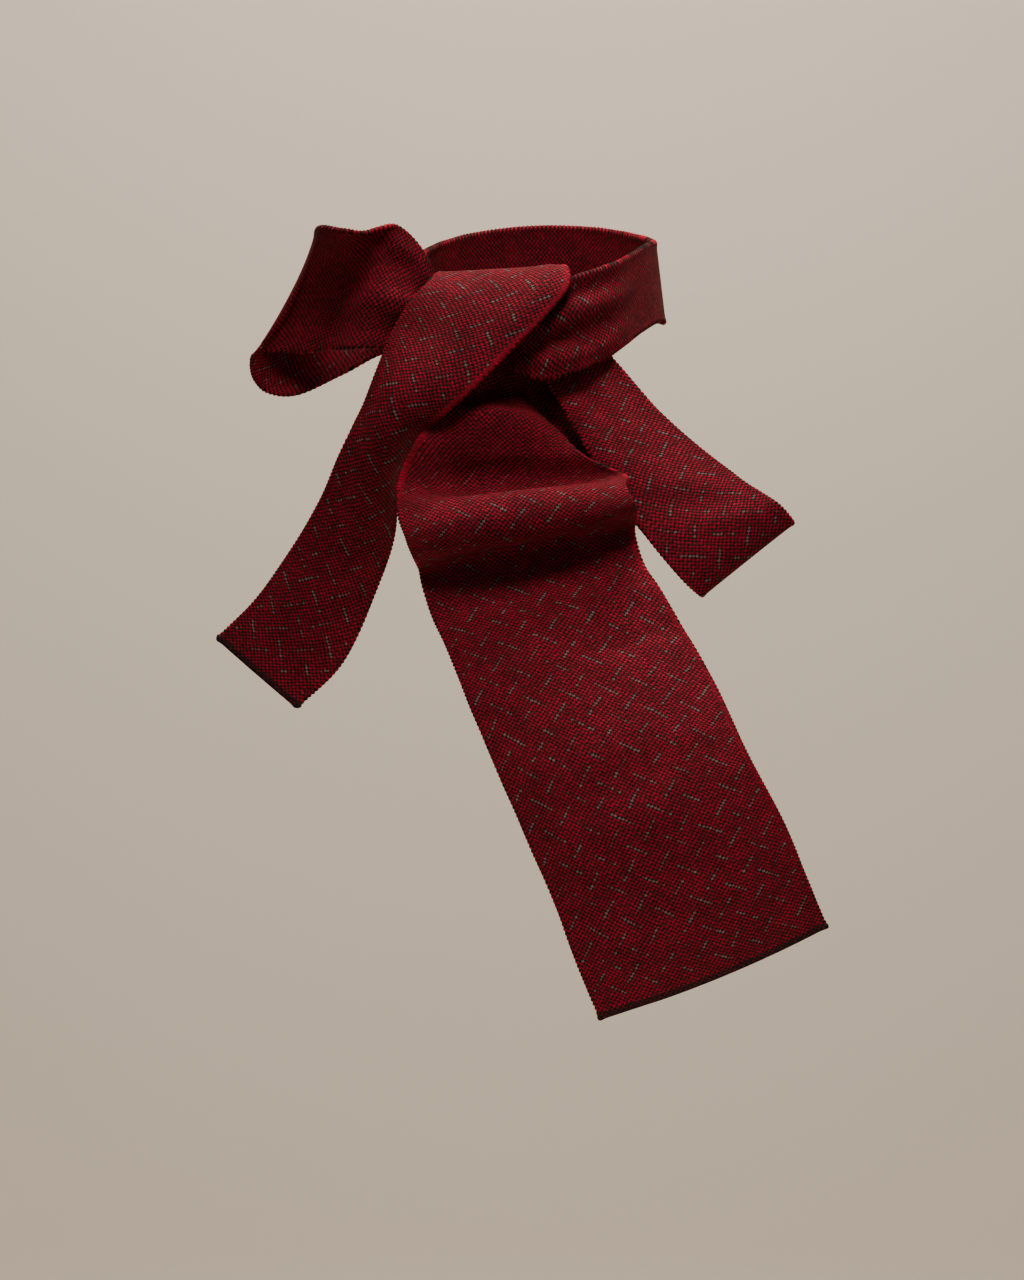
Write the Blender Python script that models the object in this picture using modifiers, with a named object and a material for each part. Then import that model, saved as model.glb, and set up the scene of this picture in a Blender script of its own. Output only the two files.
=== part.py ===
"""A narrow knit scarf tied in a bow at the neck, in the shape it keeps while it is worn.

Row frame: metres, +Z up, the wearer faces -Y, the origin is the middle of the neck that the scarf is tied round.
The scarf is described as it is seen from in front and a little to the wearer's left: right, up and out, in millimetres.
Each stretch of cloth is a row of sections, and a section is the line from one edge of the cloth to the other.
"""

from collections import namedtuple
from math import cos, radians, sin

import bmesh
import bpy
import numpy as np

MM = 0.001
WEARER_TURN = radians(25)       # how far the wearer is turned away from the side that the tables are read from
WALL = 1.8                      # thickness of the double-faced knit
BAND_WALL = 2.2                 # the stretch round the neck is a little denser, because it is pulled tight
SEAT = 0.3                      # clearance where a stretch goes into the knot
BAND_TAPER = radians(7)         # the band leans in at the top, as the neck does

# The knot is the bunched cloth that every stretch goes into: a flattened lump in front of the neck.
KNOT_CENTRE = (-9.0, -23.0, 61.0)
KNOT_HALF = (27.0, 14.0, 8.0)

STEPS = 3                       # surface rows between two sections
KNIT_RED = (0.30, 0.004, 0.012, 1.0)

# right, up, out: the middle of the line between the edges.  width: the length of that line.
# lean: its angle from level as seen.  turn: how far its second edge goes back.
# bow: how far the cloth stands out of the line at its middle.  gather: the height of its lengthwise pleats.
Section = namedtuple("Section", "right up out width lean turn bow gather")

WIDE_TAIL = [
    Section(-10, -33, 63, 12, -35, 15, 0, 0.0),
    Section(-13, -41, 67, 20, -34, 30, -1, 0.0),
    Section(-16, -50, 71, 33, -18, 18, 0, 0.0),
    Section(-17, -59, 77, 49, -8, 9, 6, 0.0),
    Section(-16, -69, 84, 67, -5, 6, -4, 0.0),
    Section(-11, -81, 89, 91, 1, 4, -10, 0.0),
    Section(-11, -90, 98, 92, 7, -1, 4, 0.0),
    Section(-8, -98, 102, 92, 9, -1, 7, 0.0),
    Section(-6, -104, 98, 91, 11, -1, 3, 0.0),
    Section(-5, -109, 90, 89, 12, -1, -2, 0.0),
    Section(-4, -116, 90, 88, 13, -1, -1, 0.0),
    Section(0, -128, 94, 88, 13, -1, 2, 0.0),
    Section(8, -142, 103, 91, 11, -3, 5, 0.0),
    Section(22, -170, 117, 96, 10, -7, 9, 0.0),
    Section(36, -201, 129, 95, 15, -7, 11, 0.0),
    Section(51, -232, 132, 96, 18, -4, 11, 0.0),
    Section(62, -260, 130, 97, 21, -1, 9, 0.0),
    Section(70, -279, 126, 97, 22, 2, 6, 0.0),
]

LEFT_TAIL = [
    Section(-8, -18, 57, 16, 2, 0, 0, 0.0),
    Section(-10, -9, 53, 26, 3, 0, 0, 0.0),
    Section(-14, 0, 55, 44, 3, 0, 0, 0.0),
    Section(-15, 4, 64, 52, 3, -1, 0, 0.0),
    Section(-17, -2, 75, 57, 0, -3, 0, 0.0),
    Section(-25, -12, 81, 53, -8, -5, 1, 0.0),
    Section(-37, -26, 84, 45, -18, -9, 2, 0.0),
    Section(-51, -44, 86, 34, -34, -13, 5, 0.0),
    Section(-61, -58, 81, 25, -28, -8, 8, 0.0),
    Section(-66, -68, 75, 25, -30, 10, 9, 0.0),
    Section(-71, -79, 70, 26, -23, 14, 9, 0.0),
    Section(-76, -99, 62, 33, -27, 10, 8, 0.0),
    Section(-86, -121, 56, 38, -28, 0, 5, 0.0),
    Section(-101, -147, 52, 44, -37, -6, 3, 0.0),
    Section(-119, -165, 50, 44, -40, -9, 1, 0.0),
]

# From the knot along the front layer to the far fold, and back along the rear layer.
LEFT_LOOP = [
    Section(-24, -18, 63, 12, -107, 0, 0, 0.0),
    Section(-42, -17, 63, 22, -107, 0, 0, 1.0),
    Section(-54, -8, 70, 41, -106, -6, 3, 1.0),
    Section(-66, -3, 74, 51, -107, -2, 3, 0.5),
    Section(-78, -5, 73, 54, -110, 24, -3, 0.0),
    Section(-90, -5, 69, 66, -113, 37, -6, 0.0),
    Section(-103, -4, 61, 68, -118, 33, -5, 0.0),
    Section(-107, -8, 51, 61, -120, 18, -2, 0.0),
    Section(-105, -16, 42, 58, -122, 4, 0, 0.0),
    Section(-98, -21, 37, 60, -123, -3, 1, 0.0),
    Section(-87, -21, 38, 60, -120, -4, 1, 0.0),
    Section(-72, -16, 42, 50, -116, -3, 1, 0.5),
    Section(-58, -14, 48, 33, -112, -3, 0, 1.0),
    Section(-40, -18, 54, 20, -108, 0, 0, 0.8),
    Section(-24, -22, 58, 10, -107, 0, 0, 0.0),
]

RIGHT_LOOP = [
    Section(4, -25, 65, 12, 12, 4, 0, 0.0),
    Section(14, -31, 62, 24, 13, 10, 0, 0.6),
    Section(19, -39, 62, 29, 15, 10, 0, 0.6),
    Section(32, -57, 71, 34, 11, 5, 1, 0.5),
    Section(47, -75, 80, 41, 13, 0, 2, 0.0),
    Section(64, -94, 90, 44, 30, 0, 3, 0.0),
    Section(78, -107, 97, 48, 39, -2, 2, 0.0),
    Section(85, -114, 95, 47, 39, -2, 0, 0.0),
    Section(83, -112, 88, 46, 39, -2, 0, 0.0),
    Section(74, -103, 83, 45, 38, 0, 0, 0.0),
    Section(59, -90, 75, 42, 28, 3, 0, 0.0),
    Section(40, -74, 66, 38, 12, 5, 0, -0.8),
    Section(20, -55, 58, 38, 10, 4, 0, -2.5),
    Section(9, -39, 53, 34, 13, 0, 0, -2.5),
    Section(-2, -28, 55, 10, 12, 0, 0, 0.0),
]

# angle: degrees round the neck from the viewer, to the right.  reach: distance from the neck's axis.
# rise: height of the band's middle.  width: the band's height.  gather: as above; it rolls the lower edge out.
BandSection = namedtuple("BandSection", "angle reach rise width gather")

NECK_BAND = [
    BandSection(-13, 65, -23, 16, 0.0),
    BandSection(-6, 70, -25, 25, 0.5),
    BandSection(2, 73, -24, 33, 1.5),
    BandSection(10, 73, -19, 37, 2.0),
    BandSection(20, 70, -15, 37, 1.8),
    BandSection(31, 65, -10, 34, 0.8),
    BandSection(45, 58, -5, 32, 0.0),
    BandSection(65, 54, 0, 32, 0.0),
    BandSection(90, 53, 1, 34, 0.0),
    BandSection(120, 53, 5, 34, 0.0),
    BandSection(150, 53, 9, 34, 0.0),
    BandSection(180, 53, 10, 34, 0.0),
    BandSection(210, 53, 7, 34, 0.0),
    BandSection(240, 53, 1, 34, 0.0),
    BandSection(270, 53, -6, 34, 0.0),
    BandSection(295, 54, -13, 32, 0.0),
    BandSection(312, 56, -18, 27, 0.0),
    BandSection(325, 58, -22, 19, 0.0),
    BandSection(338, 60, -24, 12, 0.0),
]


def smooth(knots, values, at):
    """A cubic curve through the values at the knots, with the slope of each knot taken from its neighbours."""
    step = np.diff(knots)[:, None]
    rise = np.diff(values, axis=0) / step
    slope = np.empty_like(values)
    slope[0], slope[-1] = rise[0], rise[-1]
    slope[1:-1] = (rise[:-1] * step[1:] + rise[1:] * step[:-1]) / (step[:-1] + step[1:])
    span = np.clip(np.searchsorted(knots, at, side="right") - 1, 0, len(knots) - 2)
    width = step[span]
    t = (at - knots[span])[:, None] / width
    first, second = values[span], values[span + 1]
    return (
        first * (2 * t**3 - 3 * t**2 + 1)
        + slope[span] * width * (t**3 - 2 * t**2 + t)
        + second * (3 * t**2 - 2 * t**3)
        + slope[span + 1] * width * (t**3 - t**2)
    )


def refined(table):
    """The table's rows as columns of numbers, with STEPS rows in each gap between two sections."""
    rows = np.array(table, float)
    at = np.linspace(0, len(rows) - 1, STEPS * (len(rows) - 1) + 1)
    return smooth(np.arange(len(rows), dtype=float), rows, at).T


def unit(vectors):
    return vectors / np.linalg.norm(vectors, axis=-1, keepdims=True)


def cloth_grid(centre, across, width, bow, gather, columns, pleats):
    """Points of a cloth surface: each row lies along its section, bowed and pleated along the cloth's own normal."""
    along = np.gradient(centre, axis=0)
    normal = unit(np.cross(along, across))
    place = np.linspace(-1, 1, columns)
    lift = bow[:, None] * (1 - place**2) + gather[:, None] * np.sin(pleats * np.pi * place) * (1 - place**4)
    return (
        centre[:, None]
        + across[:, None] * (width[:, None] * place / 2)[..., None]
        + normal[:, None] * lift[..., None]
    )


def stretch_grid(table, columns, pleats):
    """Points of a stretch of cloth from a table of Section rows."""
    right, up, out, width, lean, turn, bow, gather = refined(table)
    lean, turn = np.radians(lean), np.radians(turn)
    across = np.stack([np.cos(lean) * np.cos(turn), np.sin(lean) * np.cos(turn), -np.sin(turn)], axis=1)
    return cloth_grid(np.stack([right, up, out], axis=1), across, width, bow, gather, columns, pleats)


def band_grid(table, columns):
    """Points of the stretch round the neck from a table of BandSection rows. The cloth leans in at the top."""
    angle, reach, rise, width, gather = refined(table)
    angle = np.radians(angle)
    outward = np.stack([np.sin(angle), 0 * angle, np.cos(angle)], axis=1)
    centre = outward * reach[:, None] + np.outer(rise, (0, 1, 0))
    across = np.array([0, cos(BAND_TAPER), 0]) - outward * sin(BAND_TAPER)
    return cloth_grid(centre, across, width, np.zeros_like(width), gather, columns, 2)


def to_row_frame(points):
    """Right, up and out in millimetres, turned to the wearer's own frame in metres."""
    right, up, out = np.moveaxis(np.asarray(points, float), -1, 0)
    x = right * cos(WEARER_TURN) + out * sin(WEARER_TURN)
    y = right * sin(WEARER_TURN) - out * cos(WEARER_TURN)
    return np.stack([x, y, up], axis=-1) * MM


def knit_material(name, colour):
    material = bpy.data.materials.new(name)
    material.use_nodes = True
    shader = material.node_tree.nodes["Principled BSDF"]
    shader.inputs["Base Color"].default_value = colour
    shader.inputs["Roughness"].default_value = 0.9
    shader.inputs["Metallic"].default_value = 0.0
    material.diffuse_color = colour
    return material


def cloth(name, grid, wall, material, collection, knot_room):
    """An open sheet on the grid, given its wall on both sides, and cut where it goes into the knot."""
    rows, columns = grid.shape[:2]
    index = np.arange(rows * columns).reshape(rows, columns)
    faces = np.stack([index[:-1, :-1], index[1:, :-1], index[1:, 1:], index[:-1, 1:]], axis=-1).reshape(-1, 4)
    mesh = bpy.data.meshes.new(name)
    mesh.from_pydata(to_row_frame(grid).reshape(-1, 3).tolist(), [], faces.tolist())
    mesh.shade_smooth()
    mesh.materials.append(material)
    piece = bpy.data.objects.new(name, mesh)
    collection.objects.link(piece)
    solidify = piece.modifiers.new("wall", "SOLIDIFY")
    solidify.thickness = wall * MM
    solidify.offset = 0
    cut = piece.modifiers.new("seat in the knot", "BOOLEAN")
    cut.operation = "DIFFERENCE"
    cut.solver = "EXACT"
    cut.object = knot_room
    return piece


def knot_lump(name, extra, collection):
    """The flattened lump of the knot, larger all round by extra."""
    shape = bmesh.new()
    bmesh.ops.create_uvsphere(shape, u_segments=24, v_segments=12, radius=1)
    half = np.array(KNOT_HALF) + extra
    for vertex in shape.verts:
        place = np.array([vertex.co.x, vertex.co.z, -vertex.co.y]) * half + KNOT_CENTRE
        vertex.co = to_row_frame(place)
    bmesh.ops.recalc_face_normals(shape, faces=shape.faces)
    mesh = bpy.data.meshes.new(name)
    shape.to_mesh(mesh)
    shape.free()
    mesh.shade_smooth()
    lump = bpy.data.objects.new(name, mesh)
    collection.objects.link(lump)
    return lump


def build():
    for old in list(bpy.data.objects):
        bpy.data.objects.remove(old)
    scarf = bpy.data.collections.new("knit scarf")
    cutters = bpy.data.collections.new("cutters")
    for collection in (scarf, cutters):
        bpy.context.scene.collection.children.link(collection)
    red = knit_material("red knit", KNIT_RED)

    knot_room = knot_lump("knot_room", SEAT, cutters)
    knot_room.hide_render = True
    knot_room.display_type = "WIRE"
    knot = knot_lump("knot", 0.0, scarf)
    knot.data.materials.append(red)

    def stretch(name, grid, wall=WALL):
        return cloth(name, grid, wall, red, scarf, knot_room)

    stretch("neck_band", band_grid(NECK_BAND, 8), BAND_WALL)
    stretch("left_loop", stretch_grid(LEFT_LOOP, 11, 2))
    stretch("right_loop", stretch_grid(RIGHT_LOOP, 11, 2))
    stretch("left_tail", stretch_grid(LEFT_TAIL, 9, 2))
    stretch("wide_tail", stretch_grid(WIDE_TAIL, 13, 3))


build()
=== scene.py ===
"""A narrow double-faced knit scarf tied in a bow: the finished cloth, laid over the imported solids."""

from collections import namedtuple
from math import cos, radians, sin

import bmesh
import bpy
import numpy as np
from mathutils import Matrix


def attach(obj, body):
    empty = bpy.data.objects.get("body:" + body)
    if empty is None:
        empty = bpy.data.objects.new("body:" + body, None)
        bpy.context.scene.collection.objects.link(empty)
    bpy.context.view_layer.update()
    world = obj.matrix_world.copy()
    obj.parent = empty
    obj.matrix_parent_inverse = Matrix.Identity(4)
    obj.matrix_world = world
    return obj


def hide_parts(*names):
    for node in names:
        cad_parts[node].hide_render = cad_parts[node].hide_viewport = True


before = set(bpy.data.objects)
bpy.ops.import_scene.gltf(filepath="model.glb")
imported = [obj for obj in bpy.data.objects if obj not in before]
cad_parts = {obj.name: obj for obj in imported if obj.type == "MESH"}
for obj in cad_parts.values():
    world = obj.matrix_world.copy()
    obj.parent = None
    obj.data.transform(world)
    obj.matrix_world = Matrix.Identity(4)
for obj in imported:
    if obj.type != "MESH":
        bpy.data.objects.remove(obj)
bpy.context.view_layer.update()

# The view
# The scarf is turned 25 degrees from the camera, which is about level with the knot and looks a little
# down. Every stretch is described as seen from here: right, up and out towards the viewer, in millimetres
# from the middle of the neck.
MM = 0.001
SCARF_TURN = radians(25)
CAMERA_PLACE = (-11.0, -39.5, 1330.0)
CAMERA_DOWN = radians(5)
CAMERA_LENS = 85.0
CAMERA_SENSOR = 36.0


def to_row_frame(points):
    """Right, up and out in millimetres, turned about the neck by SCARF_TURN, in metres."""
    right, up, out = np.moveaxis(np.asarray(points, float), -1, 0)
    x = right * cos(SCARF_TURN) + out * sin(SCARF_TURN)
    y = right * sin(SCARF_TURN) - out * cos(SCARF_TURN)
    return np.stack([x, y, up], axis=-1) * MM


camera = bpy.data.objects.new("camera", bpy.data.cameras.new("camera"))
camera.data.lens = CAMERA_LENS
camera.data.sensor_width = CAMERA_SENSOR
camera.location = to_row_frame(CAMERA_PLACE)
camera.rotation_euler = (radians(90) - CAMERA_DOWN, 0, SCARF_TURN)
bpy.context.scene.collection.objects.link(camera)
bpy.context.scene.camera = camera

# The stretch round the neck
# The wool knit lies round the neck as one flat band, 34 mm high, and goes into the knot at both ends. Near
# the knot its lower edge rolls outwards, because the wrap over it pulls it into a lengthwise crease.
WALL = 1.8
BAND_WALL = 2.2
BAND_TAPER = radians(7)

# angle: degrees round the neck from the viewer, to the right.  reach: distance from the neck's axis.
# rise: height of the band's middle.  width: the band's height.  gather: how far the lower edge rolls out.
# fleck: how plainly the grey dashes show.
BandSection = namedtuple("BandSection", "angle reach rise width gather fleck")

NECK_BAND = [
    BandSection(-13, 65, -23, 16, 0.0, 1.0),
    BandSection(-6, 70, -25, 25, 0.5, 1.0),
    BandSection(2, 73, -24, 33, 1.5, 1.0),
    BandSection(10, 73, -19, 37, 2.0, 1.0),
    BandSection(20, 70, -15, 37, 1.8, 0.8),
    BandSection(31, 65, -10, 34, 0.8, 0.4),
    BandSection(45, 58, -5, 32, 0.0, 0.2),
    BandSection(65, 54, 0, 32, 0.0, 0.2),
    BandSection(90, 53, 1, 34, 0.0, 0.4),
    BandSection(120, 53, 5, 34, 0.0, 0.6),
    BandSection(150, 53, 9, 34, 0.0, 0.6),
    BandSection(180, 53, 10, 34, 0.0, 0.6),
    BandSection(210, 53, 7, 34, 0.0, 0.6),
    BandSection(240, 53, 1, 34, 0.0, 0.6),
    BandSection(270, 53, -6, 34, 0.0, 0.6),
    BandSection(295, 54, -13, 32, 0.0, 0.6),
    BandSection(312, 56, -18, 27, 0.0, 0.6),
    BandSection(325, 58, -22, 19, 0.0, 0.6),
    BandSection(338, 60, -24, 12, 0.0, 0.6),
]


def smooth(knots, values, at):
    """A cubic curve through the values at the knots. Each knot takes its slope from its neighbours."""
    step = np.diff(knots)[:, None]
    rise = np.diff(values, axis=0) / step
    slope = np.empty_like(values)
    slope[0], slope[-1] = rise[0], rise[-1]
    slope[1:-1] = (rise[:-1] * step[1:] + rise[1:] * step[:-1]) / (step[:-1] + step[1:])
    span = np.clip(np.searchsorted(knots, at, side="right") - 1, 0, len(knots) - 2)
    width = step[span]
    t = (at - knots[span])[:, None] / width
    first, second = values[span], values[span + 1]
    return (
        first * (2 * t**3 - 3 * t**2 + 1)
        + slope[span] * width * (t**3 - 2 * t**2 + t)
        + second * (3 * t**2 - 2 * t**3)
        + slope[span + 1] * width * (t**3 - t**2)
    )


def refined(table, steps):
    """The table's rows as columns of numbers, with steps rows in each gap between two sections."""
    rows = np.array(table, float)
    at = np.linspace(0, len(rows) - 1, steps * (len(rows) - 1) + 1)
    return smooth(np.arange(len(rows), dtype=float), rows, at).T


SHORTEST = 1e-9


def unit(vectors):
    """The vectors divided by their own lengths, or by SHORTEST where they have none."""
    return vectors / np.maximum(np.linalg.norm(vectors, axis=-1, keepdims=True), SHORTEST)


def grid_normals(grid):
    """The direction square to the surface: down the rows crossed with along the columns."""
    return unit(np.cross(np.gradient(grid, axis=0), np.gradient(grid, axis=1)))


def bell(distance, reach):
    """A bell curve: 1 at no distance, and e to the power of minus the square of distance / reach."""
    return np.exp(-((distance / reach) ** 2))


def arc_lengths(grid, axis):
    """Distance travelled along one axis of the grid, added up from its first point."""
    steps = np.linalg.norm(np.diff(grid, axis=axis), axis=-1)
    first = np.zeros_like(np.take(steps, [0], axis=axis))
    return np.cumsum(np.concatenate([first, steps], axis=axis), axis=axis)


# A crease is a soft trough (depth below 0) or ridge (depth above 0) between two places on the cloth.
# u: millimetres from the cloth's middle line.  v: millimetres along it from its root.
Crease = namedtuple("Crease", "u0 v0 u1 v1 width depth")
CREASE_END_SHARE = 0.35


def creased(grid, u, v, creases):
    """The grid moved along its normals by depth x a bell curve of the distance to each crease's line.

    At its two ends a crease has CREASE_END_SHARE of its depth, and half a sine wave brings it to the whole.
    """
    lift = np.zeros(u.shape)
    for c in creases:
        run = np.array([c.u1 - c.u0, c.v1 - c.v0], float)
        t = np.clip(((u - c.u0) * run[0] + (v - c.v0) * run[1]) / (run @ run), 0, 1)
        away = np.hypot(u - c.u0 - t * run[0], v - c.v0 - t * run[1])
        share = CREASE_END_SHARE + (1 - CREASE_END_SHARE) * np.sin(np.pi * t)
        lift += c.depth * share * bell(away, c.width)
    return grid + grid_normals(grid) * lift[..., None]


def cloth_surface(centre, across, width, bow, gather, columns, pleats):
    """Points on the cloth: each row runs along its section, bowed by a parabola and pleated by a sine.

    The pleats fade to nothing at the selvedges with the fourth power of the place across the cloth.
    """
    normal = unit(np.cross(np.gradient(centre, axis=0), across))
    place = np.linspace(-1, 1, columns)
    lift = bow[:, None] * (1 - place**2) + gather[:, None] * np.sin(pleats * np.pi * place) * (1 - place**4)
    return (
        centre[:, None]
        + across[:, None] * (width[:, None] * place / 2)[..., None]
        + normal[:, None] * lift[..., None]
    )


ROW_SPACING = 0.5


def evenly(grid, values):
    """The rows set ROW_SPACING apart along the middle, by straight lines between the given rows."""
    along = arc_lengths(grid, 0)[:, grid.shape[1] // 2]
    at = np.linspace(0, along[-1], int(along[-1] / ROW_SPACING) + 1)
    row = np.clip(np.searchsorted(along, at, side="right") - 1, 0, len(along) - 2)
    share = (at - along[row]) / (along[row + 1] - along[row])
    even = grid[row] + (grid[row + 1] - grid[row]) * share[:, None, None]
    return even, np.interp(at, along, values)


RIM_STEPS = 4
MERGE_REACH = 1e-7


def knit_rings(grid, side, half):
    """The points of a closed sheet on the grid, with the grid place and the turn that each comes from.

    Every row becomes a ring: over the front, round one selvedge in half a circle, back over the rear, and
    round the other selvedge. A point is its grid point + half the wall x (cos turn x normal + sin turn x
    sideways). The first and last rings are rounded off in quarter circles that meet in a line.
    """
    rows, columns = grid.shape[:2]
    normal = grid_normals(grid)
    down = unit(np.gradient(grid, axis=0))
    rim = np.linspace(0, np.pi, RIM_STEPS + 1)[1:-1]
    front = np.arange(columns)
    far_rim = np.full(len(rim), columns - 1)
    column = np.concatenate([front, far_rim, front[::-1], np.zeros(len(rim), int)])
    turn = np.concatenate([np.zeros(columns), rim, np.full(columns, np.pi), np.pi + rim])
    curl = np.linspace(0, np.pi / 2, RIM_STEPS)[1:]
    row = np.concatenate([np.zeros(len(curl), int), np.arange(rows), np.full(len(curl), rows - 1)])
    lean = np.concatenate([-curl[::-1], np.zeros(rows), curl])[:, None, None]
    place = np.ix_(row, column)
    swing = np.cos(turn)[:, None] * normal[place] + np.sin(turn)[:, None] * side[place]
    points = grid[place] + half[place][..., None] * (np.cos(lean) * swing + np.sin(lean) * down[place])
    return points, place, turn


def lay_map(mesh, title, places):
    """Adds a UV map in metres: each face corner gets the place, in millimetres, of the vertex it is on."""
    corner = np.empty(len(mesh.loops), np.int32)
    mesh.loops.foreach_get("vertex_index", corner)
    layer = mesh.uv_layers.new(name=title)
    layer.data.foreach_set("uv", (places.reshape(-1, 2)[corner] * MM).astype(np.float32).ravel())


# The edges of the cloth, as the knit makes them: each selvedge and cast-off end is thicker by a share of the
# wall, and a selvedge is beaded, one bead to two courses. The reaches say how far in an edge is felt, and
# NO_EDGE is farther off than that.
SELVEDGE_ROLL = 0.35
SELVEDGE_REACH = 1.3
CAST_OFF_ROLL = 0.45
CAST_OFF_REACH = 1.6
BEAD_PITCH = 1.94
BEAD_HEIGHT = 0.16
BEAD_ROLL = 0.1
BEAD_REACH = 1.1
BEAD_MEAN = 0.8
BEAD_SWING = 0.3
BEAD_SWING_RATE = 0.37
RED_FADE = 8.0
NO_EDGE = 60.0
EDGEWAYS = 0.01


def knit_sheet(
    name, grid, wall, fleck, materials, repeat_at=(0.0, 0.0), cast_off=False, selvedges=(), creases=()
):
    """A closed sheet of cloth on the grid, creased and beaded, with the maps that its materials read.

    wall: its thickness.  fleck: how plainly the dashes show, row by row.  materials: front and rear.
    repeat_at: where one dash is centred, from the middle line and back from the end of the cloth.
    selvedges: (side, from, to, share), where along the cloth the selvedge shows redder, in millimetres:
    partly the plain edge of the knit, partly a painted highlight on its lit, curled edge.
    """
    grid, fleck = evenly(grid, fleck)
    columns = grid.shape[1]
    u = arc_lengths(grid, 1)
    u = u - u[:, -1:] / 2
    v = np.repeat(arc_lengths(grid, 0)[:, columns // 2, None], columns, axis=1)
    grid = creased(grid, u, v, creases)
    edge = u[:, -1:] - np.abs(u)
    end = v[-1:] - v if cast_off else np.full(u.shape, NO_EDGE)
    # Painted highlight: along these stretches the selvedge's last wales are drawn plainer crimson, partly
    # the knit's plain edge, partly the light on the curled edge.
    red = np.zeros(u.shape)
    for which, v0, v1, share in selvedges:
        fade_in = np.clip((v - v0) / RED_FADE, 0, 1)
        fade_out = np.clip((v1 - v) / RED_FADE, 0, 1)
        red += share * (u * which > 0) * fade_in * fade_out

    side = unit(np.gradient(grid, axis=1))
    uneven = BEAD_MEAN + BEAD_SWING * np.sin(v * BEAD_SWING_RATE)
    bead = np.cos(2 * np.pi * v / BEAD_PITCH) * uneven * bell(edge, BEAD_REACH)
    grid = grid + side * (np.sign(u) * bead * BEAD_HEIGHT)[..., None]
    half = wall / 2 * (1 + (SELVEDGE_ROLL + BEAD_ROLL * bead) * bell(edge, SELVEDGE_REACH))
    half = half * (1 + CAST_OFF_ROLL * bell(end, CAST_OFF_REACH))
    points, place, turn = knit_rings(grid, side, half)

    index = np.arange(points.shape[0] * points.shape[1]).reshape(points.shape[:2])
    after = np.roll(index, -1, axis=1)
    faces = np.stack([index[:-1], index[1:], after[1:], after[:-1]], axis=-1).reshape(-1, 4)
    mesh = bpy.data.meshes.new(name)
    mesh.from_pydata(to_row_frame(points).reshape(-1, 3).tolist(), [], faces.tolist())
    for material in materials:
        mesh.materials.append(material)
    rear = np.cos(turn) + np.cos(np.roll(turn, -1)) < -EDGEWAYS
    mesh.polygons.foreach_set("material_index", np.tile(rear, len(index) - 1).astype(np.int32))
    on_rim = np.abs(np.sin(turn)) > EDGEWAYS
    lay_map(mesh, "knit", np.stack([u - repeat_at[0], v - v[-1:] + repeat_at[1]], axis=-1)[place])
    lay_map(mesh, "edges", np.stack([np.where(on_rim, 0, edge[place]), end[place]], axis=-1))
    for title, values in (("fleck", np.repeat(fleck[:, None], columns, axis=1)), ("selvedge", red)):
        attribute = mesh.attributes.new(title, "FLOAT", "POINT")
        attribute.data.foreach_set("value", values[place].astype(np.float32).ravel())

    closed = bmesh.new()
    closed.from_mesh(mesh)
    bmesh.ops.remove_doubles(closed, verts=closed.verts, dist=MERGE_REACH)
    closed.to_mesh(mesh)
    closed.free()
    mesh.shade_smooth()
    sheet = bpy.data.objects.new(name, mesh)
    bpy.context.scene.collection.objects.link(sheet)
    return sheet


def linear(hex_colour):
    """An sRGB hex colour as linear red, green and blue, and 1 for its opacity.

    A small share is divided by 12.92. Any other is (share + 0.055) / 1.055 to the power 2.4.
    """
    parts = [int(hex_colour[i : i + 2], 16) / 255 for i in (1, 3, 5)]
    return tuple(p / 12.92 if p <= 0.04045 else ((p + 0.055) / 1.055) ** 2.4 for p in parts) + (1.0,)


def add(tree, kind, inputs=(), output=0, **settings):
    """Adds one node with its settings, sets or links its inputs, and gives one of its outputs.

    inputs: values or links, for the first sockets in order or, in a dictionary, by socket name or number.
    output: the name or number of the one to give.
    """
    new = tree.nodes.new(kind)
    for key, value in settings.items():
        setattr(new, key, value)
    pairs = inputs.items() if isinstance(inputs, dict) else enumerate(inputs)
    for key, value in pairs:
        if isinstance(value, bpy.types.NodeSocket):
            tree.links.new(value, new.inputs[key])
        else:
            new.inputs[key].default_value = value
    return new.outputs[output]


# Fine wool knitted in birdseye: single stitches of crimson and near-black take turns, wale by wale and
# course by course, so from a step away the eye sees a deep, slightly grainy red. Grey stitches in short
# diagonal dashes lie over it like scattered straw. Wool is matt, with a faint bloom of fibre ends.
WALE = 1.05 * MM
COURSE = 0.97 * MM
V_SLOPE = 0.55
DASH_PITCH = 14.0
DASH_REACH = 6.5
HEM_WALES = 1.6
CAST_OFF_COURSES = 2.0
PLAIN_COURSES = 6.0
CAST_OFF_SHARE = 0.8
CRIMSON = "#be0a34"
NIGHT = "#24201f"
GREY = "#906669"
BLOOM = "#b8767c"

# How far the stitches stray, in stitches, and over what length the stitches stray and the tension varies.
WANDER = 1.2
WANDER_LENGTH = 6.0 * MM
WALE_SET_OFF = 0.3
TENSION_LENGTH = 14.0 * MM

# How deep the yarn sinks at a leg's side, at a stitch's ends and where it is dark, and the share of light
# left in the colour there as painted shade.
LEG_SINK = 0.8
STITCH_SINK = 2.6
NIGHT_SINK = 0.3
YARN_GAP_PAINTED_SHADE = 0.2

MATH = "ShaderNodeMath"
VECTOR_MATH = "ShaderNodeVectorMath"
MAP_RANGE = "ShaderNodeMapRange"

# A Mix node's sockets for its two colours and for what it makes of them, which have numbers of their own.
COLOUR_A, COLOUR_B, COLOUR_MIXED = 6, 7, 2


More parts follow.
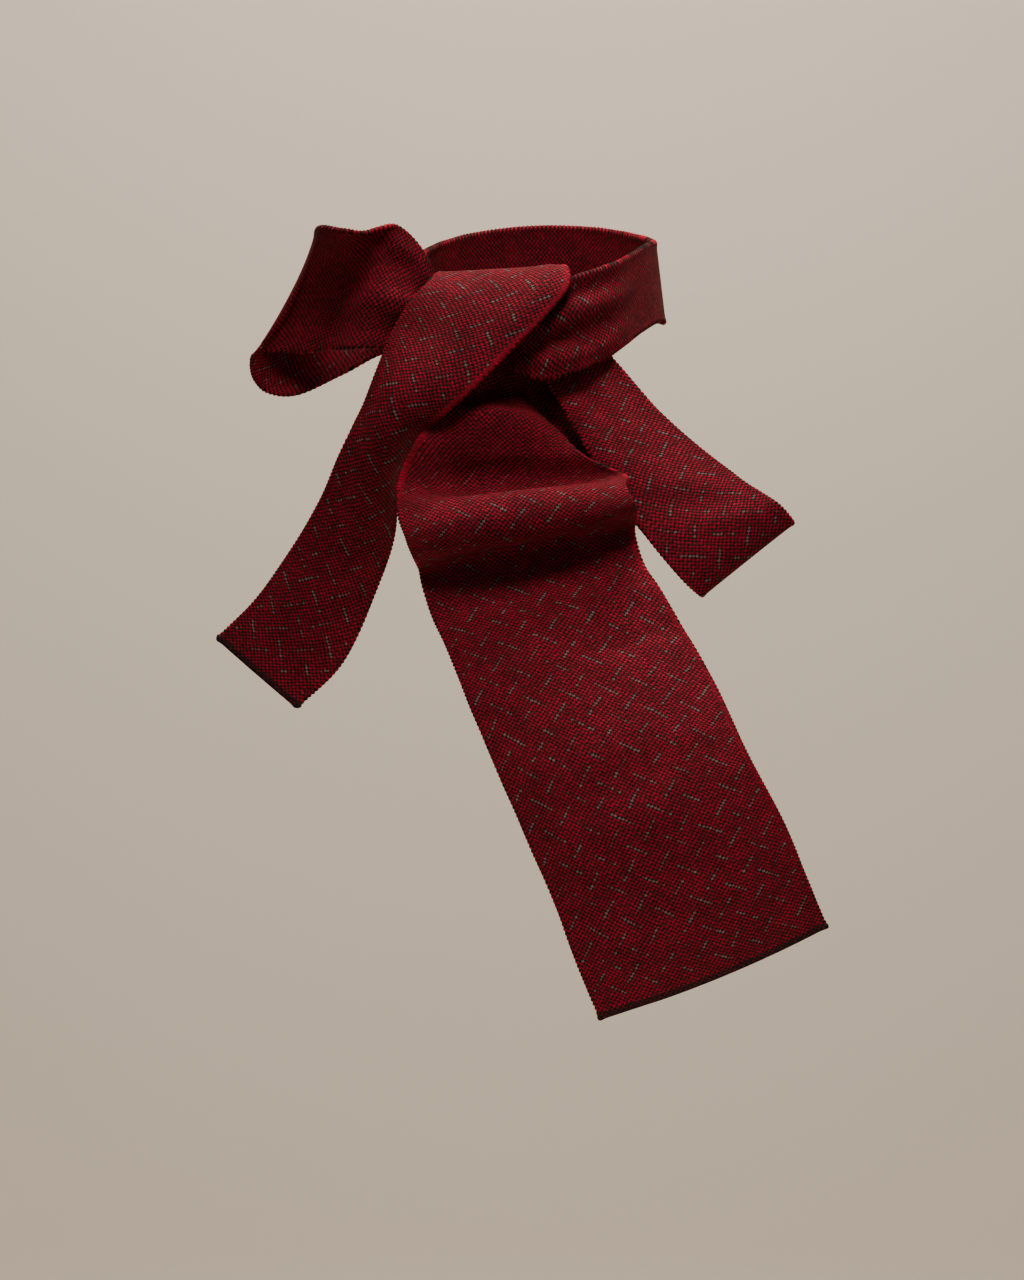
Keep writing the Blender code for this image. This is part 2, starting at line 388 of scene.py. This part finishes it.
def knitted_wool(name, dash):
    """A knit material. The stitches are counted on the cloth's own map, in metres.

    dash: 1 where the face of the cloth shows, with its dashes, and 0 on the reverse.
    """
    material = bpy.data.materials.new(name)
    material.use_nodes = True
    tree = material.node_tree
    shader = tree.nodes["Principled BSDF"]

    # The wales and courses wander by a fraction of a stitch, and each wale is set a little up or down.
    place = add(tree, "ShaderNodeUVMap", uv_map="knit")
    noise = {"Vector": place, "Scale": 1 / WANDER_LENGTH, "Detail": 1.0}
    wander = add(tree, "ShaderNodeTexNoise", noise, output="Color")
    stitches = add(tree, VECTOR_MATH, (place, (1 / WALE, 1 / COURSE, 0)), operation="MULTIPLY")
    stitches = add(tree, VECTOR_MATH, (wander, (WANDER, WANDER, 0), stitches), operation="MULTIPLY_ADD")
    x = add(tree, "ShaderNodeSeparateXYZ", (stitches,))
    y = x.node.outputs[1]
    wale = add(tree, MATH, (x,), operation="FLOOR")
    set_off = add(tree, "ShaderNodeTexWhiteNoise", {"W": wale}, noise_dimensions="1D")
    across = add(tree, MATH, (x,), operation="FRACT")
    across = add(tree, MATH, (across, 0.5), operation="SUBTRACT")
    leg = add(tree, MATH, (across,), operation="ABSOLUTE")
    rising = add(tree, MATH, (leg, V_SLOPE, y), operation="MULTIPLY_ADD")
    rising = add(tree, MATH, (set_off, WALE_SET_OFF, rising), operation="MULTIPLY_ADD")
    course = add(tree, MATH, (rising,), operation="FLOOR")
    up_stitch = add(tree, MATH, (rising,), operation="FRACT")

    # Diagonals one way and the other are the sum and the difference of wale and course. A dash is a row of
    # stitches on such a diagonal, and the dashes are turned the other way at every second crossing.
    sum_line = add(tree, MATH, (wale, course), operation="ADD")
    cross_line = add(tree, MATH, (wale, course), operation="SUBTRACT")
    sites, away = [], []
    for line in (sum_line, cross_line):
        share = add(tree, MATH, (line, DASH_PITCH), operation="DIVIDE")
        site = add(tree, MATH, (share,), operation="ROUND")
        off = add(tree, MATH, (site, -DASH_PITCH, line), operation="MULTIPLY_ADD")
        sites.append(site)
        away.append(add(tree, MATH, (off,), operation="ABSOLUTE"))
    crossing = add(tree, MATH, sites, operation="ADD")
    turned = add(tree, MATH, (crossing, 2.0), operation="FLOORED_MODULO")
    along = add(tree, "ShaderNodeMix", {"Factor": turned, "A": away[0], "B": away[1]})
    beside = add(tree, "ShaderNodeMix", {"Factor": turned, "A": away[1], "B": away[0]})
    near = add(tree, MATH, (along, DASH_REACH), operation="LESS_THAN")
    level = add(tree, MATH, (beside, 0.5), operation="LESS_THAN")
    on_dash = add(tree, MATH, (near, level), operation="MULTIPLY")
    fleck = add(tree, "ShaderNodeAttribute", output="Fac", attribute_name="fleck")

    # Along the given stretches of a selvedge the last wales are plainer crimson: partly the plain edge of
    # the knit, partly a painted highlight where the curled edge catches the light. The cast-off end is
    # worked in the dark yarn, and the last courses before it carry no dashes.
    edges = add(tree, "ShaderNodeUVMap", uv_map="edges")
    edge = add(tree, "ShaderNodeSeparateXYZ", (edges,))
    end = edge.node.outputs[1]
    selvedge = add(tree, "ShaderNodeAttribute", output="Fac", attribute_name="selvedge")
    # Painted highlight: the plain crimson of the selvedge stretches is partly the knit's edge, partly light
    # on the curled edge.
    hem = add(tree, MATH, (edge, HEM_WALES * WALE), operation="LESS_THAN")
    plain_selvedge_and_highlight = add(tree, MATH, (hem, selvedge), operation="MULTIPLY")
    last_rows = add(tree, MATH, (end, CAST_OFF_COURSES * COURSE), operation="LESS_THAN")
    cast_off = add(tree, MATH, (last_rows, CAST_OFF_SHARE), operation="MULTIPLY")
    plain_rows = add(tree, MATH, (end, PLAIN_COURSES * COURSE), operation="LESS_THAN")
    undashed = add(tree, MATH, (hem, plain_rows), operation="MAXIMUM")
    open_cloth = add(tree, MATH, (1.0, undashed), operation="SUBTRACT")

    # Each stitch is a V of two round legs, deepest where it passes under the next one. leg_far goes from -1
    # on the wale's middle line to 1 at its side, and up_off from -0.5 to 0.5 up the stitch.
    leg_far = add(tree, MATH, (leg, 0.25), operation="SUBTRACT")
    leg_far = add(tree, MATH, (leg_far, 4.0), operation="MULTIPLY")
    leg_sunk = add(tree, MATH, (leg_far, -LEG_SINK), operation="MULTIPLY")
    leg_height = add(tree, MATH, (leg_far, leg_sunk, 1.0), operation="MULTIPLY_ADD")
    up_off = add(tree, MATH, (up_stitch, 0.5), operation="SUBTRACT")
    up_sunk = add(tree, MATH, (up_off, -STITCH_SINK), operation="MULTIPLY")
    up_height = add(tree, MATH, (up_off, up_sunk, 1.0), operation="MULTIPLY_ADD")
    height = add(tree, MATH, (leg_height, up_height), operation="MULTIPLY")

    # No two stitches take the dye or the light quite alike, and the cloth is drawn tighter in some places;
    # both are random tone. Where the yarn sinks between legs and stitches, the colour is darkened as painted
    # shade. Each range gives a value, its lowest and its highest, and the shares of light at these two.
    cell = add(tree, "ShaderNodeCombineXYZ", (wale, course))
    chance = add(tree, "ShaderNodeTexWhiteNoise", (cell,), noise_dimensions="2D")
    noise = {"Vector": place, "Scale": 1 / TENSION_LENGTH, "Detail": 2.0}
    tension = add(tree, "ShaderNodeTexNoise", noise)
    yarn_light = add(tree, MAP_RANGE, (chance, 0.0, 1.0, 0.62, 1.2))
    tight_light = add(tree, MAP_RANGE, (tension, 0.3, 0.7, 0.8, 1.18))
    # Painted shade: the colour darkens in the sunk gaps between the yarn's legs and stitches, down to a
    # fifth of its light.
    gap_painted_shade = add(tree, MAP_RANGE, (height, 0.1, 0.85, YARN_GAP_PAINTED_SHADE, 1.1))
    light = add(tree, MATH, (yarn_light, tight_light), operation="MULTIPLY")
    light = add(tree, MATH, (light, gap_painted_shade), operation="MULTIPLY")

    # Crimson and dark stitches take turns, and the grey of a dash covers them more or less.
    checker = add(tree, MATH, (sum_line, 2.0), operation="FLOORED_MODULO")
    outside_selvedge_highlight = add(tree, MATH, (1.0, plain_selvedge_and_highlight), operation="SUBTRACT")
    checked = add(tree, MATH, (checker, outside_selvedge_highlight), operation="MULTIPLY")
    darkness = add(tree, MATH, (checked, cast_off), operation="MAXIMUM")
    grey_share = add(tree, MAP_RANGE, (chance, 0.15, 0.75, 0.05, 1.0))
    greyness = add(tree, MATH, (on_dash, grey_share), operation="MULTIPLY")
    shown = add(tree, MATH, (fleck, dash), operation="MULTIPLY")
    greyness = add(tree, MATH, (greyness, shown), operation="MULTIPLY")
    greyness = add(tree, MATH, (greyness, open_cloth), operation="MULTIPLY")
    yarns = {"Factor": darkness, COLOUR_A: linear(CRIMSON), COLOUR_B: linear(NIGHT)}
    two_yarns = add(tree, "ShaderNodeMix", yarns, output=COLOUR_MIXED, data_type="RGBA")
    yarns = {"Factor": greyness, COLOUR_A: two_yarns, COLOUR_B: linear(GREY)}
    three_yarns = add(tree, "ShaderNodeMix", yarns, output=COLOUR_MIXED, data_type="RGBA")
    # The base colour carries the random tone of the yarn and the painted shade of the gaps.
    colour = add(tree, VECTOR_MATH, {0: three_yarns, "Scale": light}, operation="SCALE")
    tree.links.new(colour, shader.inputs["Base Color"])

    sunk = add(tree, MATH, (darkness, -NIGHT_SINK, height), operation="MULTIPLY_ADD")
    bump = add(tree, "ShaderNodeBump", {"Strength": 0.6, "Distance": 0.35 * MM, "Height": sunk})
    tree.links.new(bump, shader.inputs["Normal"])
    shader.inputs["Roughness"].default_value = 0.85
    shader.inputs["Specular IOR Level"].default_value = 0.2
    shader.inputs["Sheen Weight"].default_value = 0.04
    shader.inputs["Sheen Roughness"].default_value = 0.5
    shader.inputs["Sheen Tint"].default_value = linear(BLOOM)
    return material


face_knit = knitted_wool("birdseye wool knit, face", 1.0)
reverse_knit = knitted_wool("birdseye wool knit, reverse", 0.0)


def band_surface(table, steps, columns):
    """Points on the stretch round the neck: a ring of sections that lean in at the top by BAND_TAPER.

    A section's middle is its reach x (sine of its angle to the right, cosine of it outwards), at its rise.
    """
    angle, reach, rise, width, gather, fleck = refined(table, steps)
    angle = np.radians(angle)
    outward = np.stack([np.sin(angle), 0 * angle, np.cos(angle)], axis=1)
    centre = outward * reach[:, None] + np.outer(rise, (0, 1, 0))
    across = np.array([0, cos(BAND_TAPER), 0]) - outward * sin(BAND_TAPER)
    return cloth_surface(centre, across, width, np.zeros_like(width), gather, columns, pleats=2), fleck


BAND_CREASES = [
    Crease(4, 12, -13, 44, 3.0, -1.5),
    Crease(-5, 12, -17, 34, 3.0, 1.0),
    Crease(9, 18, 7, 50, 4.0, 0.8),
    Crease(-4, 70, 4, 110, 5.0, -0.5),
    Crease(5, 170, -3, 214, 6.0, -0.6),
    Crease(-6, 232, 2, 290, 5.0, 0.5),
    Crease(3, 320, -2, 350, 3.0, -0.7),
]

grid, fleck = band_surface(NECK_BAND, steps=10, columns=26)
neck_band = knit_sheet(
    "neck_band_cloth", grid, BAND_WALL, fleck, (face_knit, reverse_knit), creases=BAND_CREASES
)
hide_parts("neck_band")
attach(neck_band, "root")

# The knot
# Inside the bow the same wool knit is bunched into a flattened lump. It only shows in the dark between the
# stretches, so it is one soft ball, drawn into pleats.
KNOT_CENTRE = (-9.0, -23.0, 61.0)
KNOT_HALF = (27.0, 14.0, 8.0)
KNOT_PLEATS = 8
PLEAT_DEPTH = 0.05
POLE_GAP = 0.02


def knot_surface(rows, columns):
    """Points on a flattened ball: the usual angles round and along its long axis, drawn in by pleats.

    A pleat takes up to twice PLEAT_DEPTH of the radius, as 1 + the cosine of KNOT_PLEATS x the angle round.
    """
    along = np.linspace(POLE_GAP, np.pi - POLE_GAP, rows)[:, None]
    round_it = np.linspace(0, 2 * np.pi, columns)[None]
    draw = 1 - PLEAT_DEPTH * (1 + np.cos(KNOT_PLEATS * round_it)) * np.sin(along)
    beam = np.sin(along) * draw
    ball = np.stack([-np.cos(along) + 0 * beam, beam * np.sin(round_it), beam * np.cos(round_it)], axis=-1)
    return ball * KNOT_HALF + KNOT_CENTRE


points = knot_surface(rows=40, columns=64)[:, :-1]
index = np.arange(points.shape[0] * points.shape[1]).reshape(points.shape[:2])
after = np.roll(index, -1, axis=1)
walls = np.stack([index[:-1], after[:-1], after[1:], index[1:]], axis=-1).reshape(-1, 4)
ends = [index[0][::-1].tolist(), index[-1].tolist()]
mesh = bpy.data.meshes.new("knot_cloth")
mesh.from_pydata(to_row_frame(points).reshape(-1, 3).tolist(), [], walls.tolist() + ends)
mesh.shade_smooth()
mesh.materials.append(reverse_knit)
lay_map(mesh, "knit", np.stack([arc_lengths(points, 1), arc_lengths(points, 0)], axis=-1))
lay_map(mesh, "edges", np.full(points.shape[:2] + (2,), NO_EDGE))
knot = bpy.data.objects.new("knot_cloth", mesh)
bpy.context.scene.collection.objects.link(knot)
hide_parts("knot")
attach(knot, "root")

# The open loop
# One half of the bow: the wool knit leaves the knot, turns round at the far fold and comes back behind
# itself. Its reverse side is outermost, and the loop stands open below.

# right, up, out: the middle of the line between the edges.  width: the length of that line.
# lean: its angle from level as seen.  turn: how far its second edge goes back.
# bow: how far the cloth stands out of the line at its middle.  gather: the height of its lengthwise pleats.
Section = namedtuple("Section", "right up out width lean turn bow gather fleck")

LEFT_LOOP = [
    Section(-24, -18, 63, 12, -107, 0, 0, 0.0, 0.0),
    Section(-42, -17, 63, 22, -107, 0, 0, 1.0, 0.0),
    Section(-54, -8, 70, 41, -106, -6, 3, 1.0, 0.0),
    Section(-66, -3, 74, 51, -107, -2, 3, 0.5, 0.0),
    Section(-78, -5, 73, 54, -110, 24, -3, 0.0, 0.0),
    Section(-90, -5, 69, 66, -113, 37, -6, 0.0, 0.0),
    Section(-103, -4, 61, 68, -118, 33, -5, 0.0, 0.5),
    Section(-107, -8, 51, 61, -120, 18, -2, 0.0, 0.8),
    Section(-105, -16, 42, 58, -122, 4, 0, 0.0, 0.8),
    Section(-98, -21, 37, 60, -123, -3, 1, 0.0, 0.8),
    Section(-87, -21, 38, 60, -120, -4, 1, 0.0, 0.8),
    Section(-72, -16, 42, 50, -116, -3, 1, 0.5, 0.8),
    Section(-58, -14, 48, 33, -112, -3, 0, 1.0, 0.8),
    Section(-40, -18, 54, 20, -108, 0, 0, 0.8, 0.8),
    Section(-24, -22, 58, 10, -107, 0, 0, 0.0, 0.8),
]


def stretch_surface(table, steps, columns, pleats):
    """Points on a stretch of cloth: a smooth curve through its sections' middles, edges and bows.

    From one edge to the other a section runs along (cosine of lean x cosine of turn to the right, sine of
    lean x cosine of turn up, minus the sine of turn out).
    """
    right, up, out, width, lean, turn, bow, gather, fleck = refined(table, steps)
    lean, turn = np.radians(lean), np.radians(turn)
    across = np.stack([np.cos(lean) * np.cos(turn), np.sin(lean) * np.cos(turn), -np.sin(turn)], axis=1)
    centre = np.stack([right, up, out], axis=1)
    return cloth_surface(centre, across, width, bow, gather, columns, pleats), np.clip(fleck, 0, 1)


LEFT_LOOP_CREASES = [
    Crease(-28, 65, -10, 46, 3.2, -2.0),
    Crease(-13, 32, -10, 54, 4.5, -1.8),
    Crease(3, 26, 6, 58, 5.5, 2.3),
    Crease(-26, 92, 20, 78, 8.0, -0.9),
    Crease(24, 36, 27, 74, 4.5, 1.4),
    Crease(-10, 128, 12, 150, 5.0, -0.8),
    Crease(6, 156, 4, 182, 4.0, 0.7),
]

grid, fleck = stretch_surface(LEFT_LOOP, steps=12, columns=40, pleats=2)
left_loop = knit_sheet(
    "left_loop_cloth", grid, WALL, fleck, (reverse_knit, face_knit), creases=LEFT_LOOP_CREASES
)
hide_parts("left_loop")
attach(left_loop, "root")

# The flattened loop
# The other half of the bow hangs down to the right as seen: two layers of the wool knit close together,
# face side out. Behind it the rear layer is pleated where it comes out of the knot.
RIGHT_LOOP = [
    Section(4, -25, 65, 12, 12, 4, 0, 0.0, 1.0),
    Section(14, -31, 62, 24, 13, 10, 0, 0.6, 1.0),
    Section(19, -39, 62, 29, 15, 10, 0, 0.6, 1.0),
    Section(32, -57, 71, 34, 11, 5, 1, 0.5, 1.0),
    Section(47, -75, 80, 41, 13, 0, 2, 0.0, 1.0),
    Section(64, -94, 90, 44, 30, 0, 3, 0.0, 1.0),
    Section(78, -107, 97, 48, 39, -2, 2, 0.0, 1.0),
    Section(85, -114, 95, 47, 39, -2, 0, 0.0, 1.0),
    Section(83, -112, 88, 46, 39, -2, 0, 0.0, 1.0),
    Section(74, -103, 83, 45, 38, 0, 0, 0.0, 1.0),
    Section(59, -90, 75, 42, 28, 3, 0, 0.0, 1.0),
    Section(40, -74, 66, 38, 12, 5, 0, -0.8, 1.0),
    Section(20, -55, 58, 38, 10, 4, 0, -2.5, 1.0),
    Section(9, -39, 53, 34, 13, 0, 0, -2.5, 1.0),
    Section(-2, -28, 55, 10, 12, 0, 0, 0.0, 1.0),
]

RIGHT_LOOP_CREASES = [
    Crease(-12, 22, -15, 70, 4.0, 0.8),
    Crease(8, 26, 4, 78, 5.0, -0.9),
    Crease(-18, 84, 12, 104, 6.0, -0.9),
    Crease(-6, 106, 20, 118, 5.0, 0.8),
    Crease(12, 160, -10, 196, 6.0, -0.8),
    Crease(-8, 208, -2, 244, 4.0, 0.8),
]

grid, fleck = stretch_surface(RIGHT_LOOP, steps=12, columns=32, pleats=2)
right_loop = knit_sheet(
    "right_loop_cloth", grid, WALL, fleck, (face_knit, reverse_knit), creases=RIGHT_LOOP_CREASES
)
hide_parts("right_loop")
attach(right_loop, "root")

# The wrap and the narrow tail
# The narrow end of the wool strip comes up behind the band, rolls over its top edge, crosses in front of
# the knot and hangs down to the left as seen.
LEFT_TAIL = [
    Section(-8, -18, 57, 16, 2, 0, 0, 0.0, 1.0),
    Section(-10, -9, 53, 26, 3, 0, 0, 0.0, 1.0),
    Section(-14, 0, 55, 44, 3, 0, 0, 0.0, 1.0),
    Section(-15, 4, 64, 52, 3, -1, 0, 0.0, 1.0),
    Section(-17, -2, 75, 57, 0, -3, 0, 0.0, 1.0),
    Section(-25, -12, 81, 53, -8, -5, 1, 0.0, 1.0),
    Section(-37, -26, 84, 45, -18, -9, 2, 0.0, 1.0),
    Section(-51, -44, 86, 34, -34, -13, 5, 0.0, 1.0),
    Section(-61, -58, 81, 25, -28, -8, 8, 0.0, 1.0),
    Section(-66, -68, 75, 25, -30, 10, 9, 0.0, 1.0),
    Section(-71, -79, 70, 26, -23, 14, 9, 0.0, 1.0),
    Section(-76, -99, 62, 33, -27, 10, 8, 0.0, 1.0),
    Section(-86, -121, 56, 38, -28, 0, 5, 0.0, 1.0),
    Section(-101, -147, 52, 44, -37, -6, 3, 0.0, 1.0),
    Section(-119, -165, 50, 44, -40, -9, 1, 0.0, 1.0),
]

LEFT_TAIL_CREASES = [
    Crease(19, 28, 20, 62, 5.0, 1.4),
    Crease(30, 36, 28, 62, 4.0, -1.2),
    Crease(-20, 46, -6, 84, 6.0, -0.7),
    Crease(0, 108, 15, 174, 5.0, 1.2),
    Crease(-12, 112, -6, 176, 5.0, -0.6),
    Crease(-18, 196, -6, 240, 6.0, 0.7),
    Crease(16, 190, 8, 238, 5.0, -0.7),
]

grid, fleck = stretch_surface(LEFT_TAIL, steps=12, columns=34, pleats=2)
left_tail = knit_sheet(
    "left_tail_cloth",
    grid,
    WALL,
    fleck,
    (face_knit, reverse_knit),
    cast_off=True,
    selvedges=((1, 24, 112, 0.55),),
    creases=LEFT_TAIL_CREASES,
)
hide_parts("left_tail")
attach(left_tail, "root")

# The wide tail
# The broad end of the wool strip comes out under the knot, bulges into one deep cross fold, and hangs flat
# from there down to its cast-off edge.
WIDE_TAIL = [
    Section(-10, -33, 63, 12, -35, 15, 0, 0.0, 0.0),
    Section(-13, -41, 67, 20, -34, 30, -1, 0.0, 0.0),
    Section(-16, -50, 71, 33, -18, 18, 0, 0.0, 0.0),
    Section(-17, -59, 77, 49, -8, 9, 6, 0.0, 0.0),
    Section(-16, -69, 84, 67, -5, 6, -4, 0.0, 0.1),
    Section(-11, -81, 89, 91, 1, 4, -10, 0.0, 0.3),
    Section(-11, -90, 98, 92, 7, -1, 4, 0.0, 0.8),
    Section(-8, -98, 102, 92, 9, -1, 7, 0.0, 1.0),
    Section(-6, -104, 98, 91, 11, -1, 3, 0.0, 1.0),
    Section(-5, -109, 90, 89, 12, -1, -2, 0.0, 1.0),
    Section(-4, -116, 90, 88, 13, -1, -1, 0.0, 1.0),
    Section(0, -128, 94, 88, 13, -1, 2, 0.0, 1.0),
    Section(8, -142, 103, 91, 11, -3, 5, 0.0, 1.0),
    Section(22, -170, 117, 96, 10, -7, 9, 0.0, 1.0),
    Section(36, -201, 129, 95, 15, -7, 11, 0.0, 1.0),
    Section(51, -232, 132, 96, 18, -4, 11, 0.0, 1.0),
    Section(62, -260, 130, 97, 21, -1, 9, 0.0, 1.0),
    Section(70, -279, 126, 97, 22, 2, 6, 0.0, 1.0),
]

WIDE_CREASES = [
    Crease(-36, 66, -8, 58, 8.0, -2.5),
    Crease(-46, 112, 40, 108, 5.0, 0.6),
    Crease(-40, 134, 44, 130, 8.0, -1.0),
    Crease(50, 156, -4, 170, 6.0, 1.8),
    Crease(50, 177, -2, 186, 5.5, -1.3),
    Crease(6, 166, -47, 198, 7.0, 1.3),
    Crease(-47, 243, 32, 238, 8.0, -1.2),
    Crease(-46, 262, 20, 258, 7.0, 0.8),
    Crease(-44, 288, 10, 284, 6.0, -1.1),
    Crease(-47, 312, -32, 330, 6.0, -1.2),
    Crease(20, 310, 48, 298, 7.0, -0.8),
]

grid, fleck = stretch_surface(WIDE_TAIL, steps=12, columns=60, pleats=3)
wide_tail = knit_sheet(
    "wide_tail_cloth",
    grid,
    WALL,
    fleck,
    (face_knit, reverse_knit),
    repeat_at=(7.2, 34.2),
    cast_off=True,
    selvedges=((-1, 38, 84, 0.5), (1, 120, 300, 0.25)),
    creases=WIDE_CREASES,
)
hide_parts("wide_tail")
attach(wide_tail, "root")

# The studio
# A plain warm-white sweep of matt paper stands behind and below the scarf. One large soft light hangs above
# the front, a small one from below lifts the end of the wide tail, and a third is aimed at the sweep.
SWEEP_FLOOR = -1500.0
SWEEP_BACK = -1600.0
SWEEP_BEND = 600.0
SWEEP_REACH = 4000.0
PAPER = "#efe6d8"
LAMP_LIGHT = "#fff2e6"
AIR = "#f2ece2"
AIR_GLOW = 0.04


def sweep_surface(rows):
    """Points on the backdrop: a level floor, a quarter circle and an upright wall, SWEEP_REACH each way."""
    angle = np.linspace(0, np.pi / 2, rows)
    bend_out = SWEEP_BACK + SWEEP_BEND - SWEEP_BEND * np.sin(angle)
    bend_up = SWEEP_FLOOR + SWEEP_BEND - SWEEP_BEND * np.cos(angle)
    out = np.concatenate([[SWEEP_REACH], bend_out, [SWEEP_BACK]])
    up = np.concatenate([[SWEEP_FLOOR], bend_up, [SWEEP_REACH]])
    right = np.array([-SWEEP_REACH, SWEEP_REACH])
    return np.stack(np.broadcast_arrays(right[None], up[:, None], out[:, None]), axis=-1)


points = sweep_surface(rows=24)
index = np.arange(points.shape[0] * 2).reshape(-1, 2)
faces = np.stack([index[:-1, 0], index[:-1, 1], index[1:, 1], index[1:, 0]], axis=-1)
mesh = bpy.data.meshes.new("sweep")
mesh.from_pydata(to_row_frame(points).reshape(-1, 3).tolist(), [], faces.tolist())
mesh.shade_smooth()
paper = bpy.data.materials.new("matte backdrop paper")
paper.use_nodes = True
paper_shader = paper.node_tree.nodes["Principled BSDF"]
paper_shader.inputs["Base Color"].default_value = linear(PAPER)
paper_shader.inputs["Roughness"].default_value = 0.95
mesh.materials.append(paper)
sweep = bpy.data.objects.new("sweep", mesh)
bpy.context.scene.collection.objects.link(sweep)

# place: where it hangs as seen.  target: what it points at.  size: across its face.  spread: in degrees.
Lamp = namedtuple("Lamp", "name place target size spread watts")

for lamp in (
    Lamp("key", (50, 1320, 950), (0, -120, 80), 600, 120, 7.0),
    Lamp("fill", (60, -900, 1250), (80, -330, 120), 200, 24, 0.1),
    Lamp("backdrop light", (0, 2200, -400), (0, -300, -1600), 1500, 120, 45.0),
):
    light = bpy.data.lights.new(lamp.name, "AREA")
    light.shape = "DISK"
    light.size = lamp.size * MM
    light.spread = radians(lamp.spread)
    light.energy = lamp.watts
    light.color = linear(LAMP_LIGHT)[:3]
    holder = bpy.data.objects.new(lamp.name, light)
    place = to_row_frame(lamp.place)
    aim = to_row_frame(lamp.target) - place
    tip = np.arctan2(np.hypot(aim[0], aim[1]), -aim[2])
    heading = np.arctan2(-aim[0], aim[1])
    holder.location = place
    holder.rotation_euler = (float(tip), 0, float(heading))
    bpy.context.scene.collection.objects.link(holder)

world = bpy.data.worlds.new("studio air")
world.use_nodes = True
world.node_tree.nodes["Background"].inputs["Color"].default_value = linear(AIR)
world.node_tree.nodes["Background"].inputs["Strength"].default_value = AIR_GLOW
bpy.context.scene.world = world
